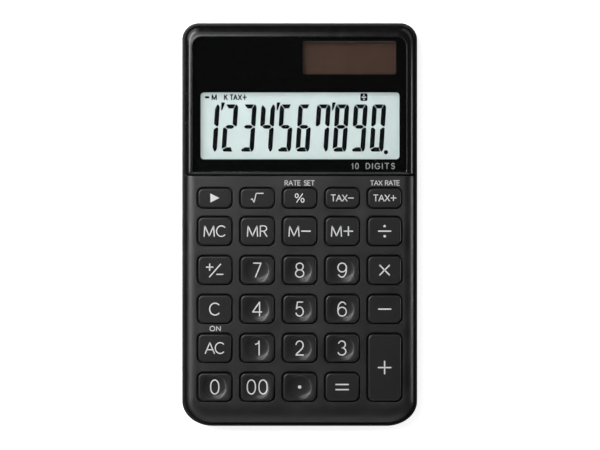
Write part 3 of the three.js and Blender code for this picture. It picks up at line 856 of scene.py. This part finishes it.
def label_recess(s, low):
    recess = node_outline("rating_label", LABEL_RECESS_RADIUS, grow=LABEL_GAP)
    mouth = s.ring(recess, low, 8)
    ceiling = s.ring(recess, low + LABEL_RECESS, 8)
    s.bands([mouth, ceiling])
    return mouth, ceiling


def screw_seats(s):
    """The cups that the screw heads pull against."""
    for node in nodes_named("case_screw_"):
        x, y, radius = centre_of(node)
        bore = radius + RECESS_CLEARANCE
        profile = [*SEAT_PROFILE, (bore, SEAT_CEILING), (bore, SEAT_BOTTOM)]
        s.bands([s.circle(x, y, r, z) for r, z in profile], closed=True)


def ribs(s):
    """Two long ribs under the board."""
    near, far = RIB_ENDS
    for x in RIBS_X:
        left, right = x - RIB_HALF_WIDTH, x + RIB_HALF_WIDTH
        s.slab([(left, near), (right, near), (right, far), (left, far)], [], RIB_BOTTOM, RIB_TOP)


def display_surround():
    """The glossy surround: a crowned bevel on three sides and a thin bar above the seam."""
    left, _, _, _, low, high = node_box("display_frame")
    edge = node_outline("display_frame", REAR_TOP_RADIUS - (left - body_outline().left), SEAM_RADIUS)
    flat = inset(edge, BEVEL_SIDE, BEVEL_BOTTOM, BEVEL_TOP)
    flat = with_corners(flat, BEVEL_TOP_RADIUS, BEVEL_BOTTOM_RADIUS)
    skirt = inset(edge, FRAME_SKIRT, FRAME_SKIRT_BOTTOM, FRAME_SKIRT)
    s = Surface()
    loops = [s.ring(edge, low)]
    for t in quarter_turn(28)[:-1]:
        drop = BEVEL_DROP * (1 - math.sin(t))
        front = edge.bottom + BEVEL_BOTTOM * max(0, 1 - drop / BAR_CHAMFER)
        loops.append(s.ring(between(edge, flat, 1 - math.cos(t))._replace(bottom=front), high - drop))
    for outline, z in (
        (inset(flat, -CREASE), high),
        (flat, high - FRAME_LIP),
        (flat, SHELF_TOP + FRAME_LIP),
        (skirt, SHELF_TOP + FRAME_LIP),
        (skirt, low),
    ):
        loops.append(s.ring(outline, z))
    s.bands(loops, closed=True)
    return s.build("surround_shell", "frame_gloss", sharp=50)


def lens_outline():
    return node_outline("display_lens", LENS_TOP_RADIUS, LENS_BOTTOM_RADIUS)


def lens():
    """The clear panel, with a fine polished chamfer round its top edge."""
    low, high = node_box("display_lens")[4:]
    outline = lens_outline()
    s = Surface()
    chamfer = [s.ring(outline, high - LENS_CHAMFER), s.ring(inset(outline, LENS_CHAMFER), high)]
    s.solid([s.ring(outline, low), *chamfer])
    return s.build("lens_panel", "lens_clear", sharp=30)


def lens_mask():
    """The black print on the back of the lens. It casts no shadow, so the display stays evenly lit."""
    bottom, top = (node_box("display_lens")[4] - gap for gap in MASK_BELOW_LENS)
    border = outline_points(inset(lens_outline(), MASK_INSET), 24)
    windows = [outline_points(rounded(*w), 10) for w in (LCD_WINDOW, SOLAR_WINDOW)]
    s = Surface()
    s.slab(border, windows, bottom, top)
    mask = s.build("lens_mask", "mask_print")
    mask.visible_shadow = False
    return mask


def lens_print():
    """A small generic line of print behind the lens, in front of the black mask."""
    level = node_box("display_lens")[4] - PRINT_BELOW_LENS
    s = Surface()
    word(s, *LENS_WORD, level_at(level))
    return s.build("lens_print", "lens_print")


# ---- Keys ----

DISHED_KEYS = [f"key_{name}" for name in (*"0123456789", "00", "point")]


def dish_height(radius):
    """Height of the finger dish at a distance from its centre: nearly flat, with a steeper rim."""
    share = min(radius / DISH_RADIUS, 1)
    return CAP_TOP - DISH_DEPTH * (1 - share**4)


def top_of(node):
    """The height of the key's top as a function of x and y."""
    x, y, _ = centre_of(node)
    if node not in DISHED_KEYS:
        return level_at(CAP_TOP)
    return lambda px, py: dish_height(math.hypot(px - x, py - y))


def key_cap(node):
    """A cap with rounded edges and its retaining flange and stem. Digit keys have a finger dish."""
    x, y, _ = centre_of(node)
    low = node_box(node)[4]
    flange_low, flange_high = low + FLANGE_LOW, low + FLANGE_HIGH
    cap = with_corners(inset(opening(node), KEY_GAP), CAP_RADIUS)
    flange = inset(opening(node), -FLANGE_LAP + FLANGE_CLEARANCE)
    s = Surface()
    stem = [s.circle(x, y, STEM_TIP_RADIUS, low, 24), s.circle(x, y, STEM_RADIUS, flange_low, 24)]
    s.fan(stem[0], up=False)
    s.bands(stem)
    under = s.ring(flange, flange_low, KEY_STEPS)
    s.plate(under, [stem[-1]], up=False)
    loops = [
        under,
        s.ring(flange, flange_high, KEY_STEPS),
        s.ring(inset(cap, -CAP_FOOT_SPREAD), flange_high, KEY_STEPS),
        s.ring(cap, CAP_TOP - CAP_FILLET, KEY_STEPS),
        *s.round_over(cap, CAP_FILLET, CAP_TOP, quarter_turn(6)[1:], KEY_STEPS),
        s.ring(inset(cap, CAP_FILLET + CAP_CREASE), CAP_TOP, KEY_STEPS),
    ]
    s.bands(loops)
    if node in DISHED_KEYS:
        finger_dish(s, x, y, loops[-1])
    else:
        s.plate(loops[-1])
    return s.build("cap_" + node[4:], "key_black")


def finger_dish(s, x, y, border):
    radii = [DISH_RADIUS * share for share in DISH_SHARES]
    dish = [s.circle(x, y, radius, dish_height(radius), 72) for radius in radii]
    s.plate(border, [dish[0]])
    s.bands(dish)
    s.fan(dish[-1])


def dot(surface, _, x, y, width, height, stroke, height_at):
    blot(surface, circle_points(x, y, width / 2, 20), height_at)


def arrow(surface, _, x, y, width, height, stroke, height_at):
    half_x, half_y = width / 2, height / 2
    blot(surface, [(x - half_x, y - half_y), (x + half_x, y), (x - half_x, y + half_y)], height_at)


DIGIT_HEIGHT = 4.5
DIGIT_GAP = 0.73
DIGIT_STROKE = 0.35


def digit_legend(text):
    width = sum(GLYPH_WIDTH[c] * DIGIT_HEIGHT for c in text) + DIGIT_GAP * (len(text) - 1)
    return [(word, text, 0, 0, width, DIGIT_HEIGHT, DIGIT_STROKE)]


TAX = (word, "TAX", -0.9, 0, 5.0, 2.1, 0.27)
MEMORY = (glyph, "M", -1.68, 0, 3.3, 3.42, 0.33)

# Each mark of a legend is how it is drawn, what, its offset from the key's centre in x and y, and its
# width, height and stroke.
LEGENDS = {
    "right_arrow": [(arrow, "", 0.05, 0, 2.7, 2.7, 0)],
    "sqrt": [(glyph, "root", 0, 0, 3.9, 3.05, 0.29)],
    "percent": [(glyph, "%", 0, 0, 2.9, 2.8, 0.29)],
    "tax_minus": [TAX, (glyph, "-", 2.6, 0, 1.85, 1.85, 0.27)],
    "tax_plus": [TAX, (glyph, "+", 2.6, 0, 1.85, 1.85, 0.27)],
    "mc": [(word, "MC", 0, 0, 6.6, 3.47, 0.33)],
    "mr": [(word, "MR", 0, 0, 6.1, 3.47, 0.33)],
    "m_minus": [MEMORY, (glyph, "-", 1.85, 0, 3.0, 3.0, 0.38)],
    "m_plus": [MEMORY, (glyph, "+", 1.85, 0, 3.0, 3.0, 0.38)],
    "divide": [
        (glyph, "-", 0, 0, 4.1, 4.1, 0.4),
        (dot, "", 0, 1.5, 0.76, 0.76, 0),
        (dot, "", 0, -1.5, 0.76, 0.76, 0),
    ],
    "multiply": [(glyph, "X", 0, 0, 3.3, 3.3, 0.4)],
    "minus": [(glyph, "-", 0, 0, 4.15, 4.15, 0.4)],
    "plus": [(glyph, "+", 0, 0, 4.2, 4.2, 0.4)],
    "equals": [(glyph, "-", 0, 0.76, 4.2, 4.2, 0.4), (glyph, "-", 0, -0.77, 4.2, 4.2, 0.4)],
    "sign": [
        (glyph, "+", -1.49, 0.89, 2.36, 2.36, 0.36),
        (glyph, "/", 0.1, -0.13, 3.7, 4.2, 0.36),
        (glyph, "-", 1.5, -1.25, 2.32, 2.32, 0.36),
    ],
    "c": [(word, "C", 0, 0, 3.35, 3.88, 0.36)],
    "ac": [(word, "AC", 0, 0, 5.94, 3.54, 0.33)],
    "point": [(dot, "", 0, 0, 1.0, 1.0, 0)],
    **{name: digit_legend(name) for name in (*"0123456789", "00")},
}


def build_keys():
    for node in key_nodes():
        place(key_cap(node), node, "key_black", node)
        s = Surface()
        x, y, _ = centre_of(node)
        for draw, text, dx, dy, width, height, stroke in LEGENDS[node[4:]]:
            draw(s, text, x + dx, y + dy, width, height, stroke, top_of(node))
        place(s.build("legend_" + node[4:], "legend_print"), node, "legend_print")


DECK_WORDS = (
    ("RATE SET", "key_percent", 0, 8.95),
    ("TAX RATE", "key_tax_plus", 0.1, 8.8),
    ("ON", "key_ac", 0.1, 3.3),
)
DECK_WORD_RISE = 1.25
DECK_WORD_HEIGHT = 1.6
DECK_WORD_STROKE = 0.22


def deck_legends():
    """The small words printed on the deck over three keys."""
    top = node_box("front_case")[5]
    s = Surface()
    for text, node, dx, width in DECK_WORDS:
        x = centre_of(node)[0] + dx
        y = opening(node).top + DECK_WORD_RISE
        word(s, text, x, y, width, DECK_WORD_HEIGHT, DECK_WORD_STROKE, level_at(top))
    return s.build("deck_legends", "legend_print")


# ---- Display ----

LCD_DIGITS = "1234567890"
LCD_WIDTH = 4.12
LCD_HEIGHT = 14.05
LCD_MIDDLE = 7.37
LCD_UPRIGHT = 1.36
LCD_PITCH = 5.5
LCD_SLANT = 0.067
LCD_LAST_LEFT = 20.73
LCD_BASE_Y = 21.67
LCD_POINT = (25.65, 21.5, 0.64)
SEPARATORS_X = (-23.3, -6.83, 9.64)
WEDGE = ((-0.05, 34.1), (0.05, 33.92), (0.3, 34.02), (1.1, 36.12), (1.05, 36.3), (0.02, 36.3))
INDICATOR_Y = 37.82
INDICATOR_HEIGHT = 1.8
INDICATOR_STROKE = 0.33
INDICATOR_BAR = (-28.0, -27.05, 0.64)
INDICATORS = (
    ("M", -25.4, 1.62),
    ("K", -21.95, 1.15),
    ("T", -20.25, 1.1),
    ("A", -19.1, 1.35),
    ("X", -17.75, 1.3),
    ("+", -16.35, 1.4),
)
DIVIDE_TILE = (19.1, 37.87, 2.12, 2.25, 0.3)
DIVIDE_BAR = (19.1, 37.87, 1.4, 0.3, 0.12)
DIVIDE_DOT_RISES = (0.62, -0.62)
DIVIDE_DOT_RADIUS = 0.22
INK_ABOVE_GLASS = 0.025
INK_HALF_THICKNESS = 0.01
LIT = {
    "0": "abcdef", "1": "bc", "2": "abdeg", "3": "abcdg", "4": "bcfg", "5": "acdfg",
    "6": "acdefg", "7": "abcf", "8": "abcdefg", "9": "abcdfg",
}


def segments():
    """The seven segments of a digit as convex polygons. They taper where they meet."""
    w, h, m, v = LCD_WIDTH, LCD_HEIGHT, LCD_MIDDLE, LCD_UPRIGHT
    return {
        "a": [(1.42, h - 1.22), (w - 1.4, h - 1.22), (w - 0.88, h), (0.75, h), (0.5, h - 0.1)],
        "b": [
            (w - v, m + 0.85), (w - 0.55, m + 0.14), (w - 0.14, m + 0.14), (w, m + 0.55),
            (w, h - 1.05), (w - 0.13, h - 0.55), (w - 0.5, h - 0.08), (w - 0.72, h - 0.02),
            (w - v, h - 1.4),
        ],
        "c": [
            (w - v, 1.33), (w - 0.78, 0.06), (w - 0.5, 0.0), (w - 0.15, 0.45), (w, 1.05),
            (w, m - 0.62), (w - 0.2, m - 0.2), (w - 0.62, m - 0.2), (w - v, m - 0.8),
        ],
        "d": [(0.27, 0.58), (0.5, 0.15), (0.85, 0), (w - 0.92, 0), (w - 1.4, 1.28), (1.34, 1.28)],
        "e": [
            (0, 0.86), (v, 1.42), (v, m - 0.82), (0.68, m - 0.22), (0.22, m - 0.2), (0, m - 0.58),
        ],
        "f": [
            (0, m + 0.65), (0.14, m + 0.2), (0.62, m + 0.13), (v, m + 0.8),
            (v, h - 1.32), (0.42, h - 0.28), (0.2, h - 0.3), (0, h - 1.1),
        ],
        "g": [
            (0.68, m), (1.0, m - 0.32), (1.42, m - 0.56), (w - 1.42, m - 0.56), (w - 1.05, m - 0.32),
            (w - 0.72, m), (w - 1.05, m + 0.33), (w - 1.42, m + 0.56), (1.42, m + 0.56), (1.0, m + 0.33),
        ],
    }


def ink_level():
    return node_box("lcd_lower_glass")[5] + INK_ABOVE_GLASS


def display_marks():
    """The lit segments, the separators, the point and the small indicators along the top."""
    flat = level_at(ink_level())
    s = Surface()
    shapes = segments()
    for position, digit in enumerate(LCD_DIGITS):
        left = LCD_LAST_LEFT - (len(LCD_DIGITS) - 1 - position) * LCD_PITCH
        for name in LIT[digit]:
            slanted = [(left + x + y * LCD_SLANT, LCD_BASE_Y + y) for x, y in shapes[name]]
            blot(s, slanted, flat)
    blot(s, circle_points(*LCD_POINT, 28), flat)
    for x in SEPARATORS_X:
        blot(s, [(x + dx, y) for dx, y in WEDGE], flat)
    start, stop, thickness = INDICATOR_BAR
    ribbon(s, [(start, INDICATOR_Y), (stop, INDICATOR_Y)], thickness, flat)
    for letter, x, width in INDICATORS:
        glyph(s, letter, x, INDICATOR_Y, width, INDICATOR_HEIGHT, INDICATOR_STROKE, flat)
    return s.build("display_segments", "lcd_ink")


def divide_indicator():
    """A small dark tile with the dividing sign left clear in it."""
    level = ink_level()
    x, y = DIVIDE_TILE[:2]
    tile = outline_points(rounded(*DIVIDE_TILE), 5)
    bar = outline_points(rounded(*DIVIDE_BAR), 3)
    dots = [circle_points(x, y + rise, DIVIDE_DOT_RADIUS, 14) for rise in DIVIDE_DOT_RISES]
    s = Surface()
    s.slab(tile, [bar, *dots], level - INK_HALF_THICKNESS, level + INK_HALF_THICKNESS)
    return s.build("divide_indicator", "lcd_ink")


# ---- Feet, screws and label ----

FOOT_EDGE = ((0.3, 0), (0.12, 0.04), (0, 0.16))
SLOT_ARM = 1.15
SLOT_HALF_WIDTH = 0.24
SLOT_DEPTH = 0.5
SLOT_TAPER = 0.8
HEAD_EDGE = ((0.25, 0), (0.08, 0.08), (0, 0.3), (0, 0.9))
SHANK_RADIUS = 0.75
TIP_RADIUS = 0.2
TIP_LENGTH = 0.5


def foot(node):
    """A rubber pad. Its lower edge is eased in steps of inset and rise."""
    x, y, radius = centre_of(node)
    low, high = node_box(node)[4:]
    s = Surface()
    profile = [(radius - step_in, low + rise) for step_in, rise in FOOT_EDGE]
    s.solid([s.circle(x, y, r, z, 48) for r, z in (*profile, (radius, high))])
    return s.build("pad_" + node[-1], "foot_rubber")


def screw(node):
    """A pan-headed screw with a cross recess, its head down in the case's bore."""
    x, y, radius = centre_of(node)
    low, high = node_box(node)[4:]
    s = Surface()
    arm, half = SLOT_ARM, SLOT_HALF_WIDTH
    corners = [(half, half), (half, arm), (-half, arm), (-half, half), (-arm, half), (-arm, -half)]
    corners += [(-px, -py) for px, py in corners]
    mouth = s.loop([(x + px, y + py) for px, py in corners], low)
    bottom = s.loop([(x + px * SLOT_TAPER, y + py * SLOT_TAPER) for px, py in corners], low + SLOT_DEPTH)
    profile = [(radius - step_in, low + rise) for step_in, rise in HEAD_EDGE]
    profile += [(SHANK_RADIUS, profile[-1][1]), (SHANK_RADIUS, high - TIP_LENGTH), (TIP_RADIUS, high)]
    loops = [s.circle(x, y, r, z) for r, z in profile]
    s.plate(loops[0], [mouth], up=False)
    s.bands([mouth, bottom])
    s.plate(bottom, up=False)
    s.bands(loops)
    s.fan(loops[-1])
    return s.build("machine_screw_" + node[-1], "screw_steel")


def label():
    low, high = node_box("rating_label")[4:]
    s = Surface()
    s.slab(outline_points(node_outline("rating_label", LABEL_RADIUS), 10), [], low, high)
    return s.build("blank_label", "label_film")


# ---- Key mat ----

MAT_RADIUS = 0.8
MAT_TOP = 4.45
MAT_HOLE = 3.0
DOME_TURNS = 32
DOME_WALL = ((MAT_HOLE, 0), (MAT_HOLE, 0.6), (2.9, 0.75))
DOME_CROWN = ((2.2, 0.15), (1.9, 0), (1.2, 0), (1.0, 0.5), (1.8, 0.6))
DOME_MOUTH = 2.5


def key_mat():
    """The rubber sheet, with a hole for each dome."""
    low = node_box("key_mat")[4]
    holes = [circle_points(*centre_of(node)[:2], MAT_HOLE, DOME_TURNS) for node in key_nodes()]
    s = Surface()
    s.slab(outline_points(node_outline("key_mat", MAT_RADIUS), 6), holes, low, MAT_TOP)
    return s.build("mat_sheet", "mat_rubber")


def dome(node):
    """The collapsing dome under one key, as a closed ring that fills its hole in the sheet."""
    x, y, _ = centre_of(node)
    low, high = node_box("key_mat")[4:]
    profile = [(r, low + rise) for r, rise in DOME_WALL]
    profile += [(r, high - drop) for r, drop in DOME_CROWN]
    s = Surface()
    s.bands([s.circle(x, y, r, z, DOME_TURNS) for r, z in (*profile, (DOME_MOUTH, low))], closed=True)
    return s.build("dome_" + node[4:], "mat_rubber")


def build_mat():
    place(key_mat(), CASE, "mat_rubber", "key_mat")
    for node in key_nodes():
        piece = place(dome(node), CASE, "mat_rubber")
        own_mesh(piece)


# ---- Stage, lights and camera ----

OBJECT_CENTRE = Vector((0, 0, 5 * MM))
FLOOR_REACH = 6000
ROOM_STRENGTH = 0.03
TABLE_STRENGTH = 0.7


def area_light(name, width, height, power):
    light = bpy.data.lights.new(name, "AREA")
    light.shape = "RECTANGLE"
    light.size = width
    light.size_y = height
    light.energy = power
    obj = bpy.data.objects.new(name, light)
    obj.visible_camera = False
    bpy.context.scene.collection.objects.link(obj)
    return obj


def softbox(name, azimuth, elevation, distance, width, height, power):
    """A soft light that faces the object. Azimuth 0 stands at the foot end, 90 on the right."""
    a, e = math.radians(azimuth), math.radians(elevation)
    away = Vector((math.sin(a) * math.cos(e), -math.cos(a) * math.cos(e), math.sin(e)))
    obj = area_light(name, width, height, power)
    obj.location = OBJECT_CENTRE + away * distance
    obj.rotation_euler = away.to_track_quat("Z", "Y").to_euler()


def panel(name, x, y, z, width, height, power):
    """A flat panel that hangs over the table and shines straight down."""
    area_light(name, width, height, power).location = (x, y, z)


# Lengths in metres and power in watts. A panel is x, y, z, width, height and power, and a softbox is
# azimuth, elevation, distance, width, height and power.

PANELS = {
    "left_panel": (-0.45, 0, 0.5, 0.1, 1.0, 1.1),
    "head_panel": (-0.265, 0.15, 0.5, 0.47, 0.1, 0.8),
    "bevel_panel": (-0.155, 0.25, 0.5, 0.29, 0.3, 0.35),
}
SOFTBOXES = {
    "main_light": (237, 44, 0.4, 0.36, 0.1, 0.8),
    "head_left": (225, 26, 1.0, 1.1, 0.5, 3.4),
    "head_right": (135, 26, 1.0, 1.1, 0.5, 1.2),
    "foot_low": (0, 8, 0.6, 0.6, 0.12, 0.35),
    "foot_high": (0, 38, 0.6, 0.6, 0.12, 0.3),
    "right_low": (90, 8, 0.25, 0.12, 0.06, 0.14),
}


def world_light():
    """A dark room. The light that the table throws up reaches matt surfaces only."""
    world = bpy.data.worlds.new("studio")
    bpy.context.scene.world = world
    world.use_nodes = True
    tree = world.node_tree
    coordinates = tree.nodes.new("ShaderNodeTexCoord")
    split = tree.nodes.new("ShaderNodeSeparateXYZ")
    below = tree.nodes.new("ShaderNodeMapRange")
    below.inputs["From Max"].default_value = -0.2
    below.inputs["To Max"].default_value = TABLE_STRENGTH
    path = tree.nodes.new("ShaderNodeLightPath")
    matt = tree.nodes.new("ShaderNodeMath")
    matt.operation = "MULTIPLY_ADD"
    matt.inputs[2].default_value = ROOM_STRENGTH
    background = tree.nodes["Background"]
    background.inputs["Color"].default_value = (1, 1, 1, 1)
    tree.links.new(coordinates.outputs["Generated"], split.inputs[0])
    tree.links.new(split.outputs["Z"], below.inputs["Value"])
    tree.links.new(below.outputs[0], matt.inputs[0])
    tree.links.new(path.outputs["Is Diffuse Ray"], matt.inputs[1])
    tree.links.new(matt.outputs[0], background.inputs["Strength"])


def floor():
    """A wide pale sheet. It isn't seen in reflections and throws no light on the object."""
    s = Surface()
    reach = FLOOR_REACH
    s.fan(s.loop([(-reach, -reach), (reach, -reach), (reach, reach), (-reach, reach)], 0))
    obj = s.build("floor", "floor_paper")
    obj.visible_glossy = False
    obj.visible_diffuse = False


PICTURE_WIDTH = 178.72
CAMERA_LENS = 200.0
SENSOR_WIDTH = 36.0
CAMERA_OFFSET = (0.1, -0.15)


def camera():
    """A long lens straight above. The picture's width is that of the plane of the case's rim."""
    data = bpy.data.cameras.new("camera")
    data.lens = CAMERA_LENS
    data.sensor_width = SENSOR_WIDTH
    data.dof.use_dof = False
    obj = bpy.data.objects.new("camera", data)
    rim = node_box("rear_cover")[5]
    distance = PICTURE_WIDTH * CAMERA_LENS / SENSOR_WIDTH
    obj.location = (CAMERA_OFFSET[0] * MM, CAMERA_OFFSET[1] * MM, (rim + distance) * MM)
    bpy.context.scene.collection.objects.link(obj)
    bpy.context.scene.camera = obj


CASE_PIECES = (
    (rear_cover, "rear_matt", "rear_cover"),
    (front_case, "front_matt", "front_case"),
    (display_surround, "frame_gloss", "display_frame"),
    (lens, "lens_clear", "display_lens"),
    (lens_mask, "mask_print"),
    (lens_print, "legend_print"),
    (display_marks, "lcd_ink"),
    (divide_indicator, "lcd_ink"),
    (deck_legends, "legend_print"),
    (label, "label_film", "rating_label"),
)


def build_calculator():
    finish_cad_nodes()
    for make, slot, *replaced in CASE_PIECES:
        place(make(), CASE, slot, *replaced)
    for node in nodes_named("case_screw_"):
        place(screw(node), CASE, "screw_steel", node)
    for node in nodes_named("foot_"):
        place(foot(node), CASE, "foot_rubber", node)
    build_keys()
    build_mat()


build_calculator()
floor()
world_light()
for light_name, settings in SOFTBOXES.items():
    softbox(light_name, *settings)
for light_name, settings in PANELS.items():
    panel(light_name, *settings)
camera()
bpy.context.scene.view_settings.view_transform = "Standard"
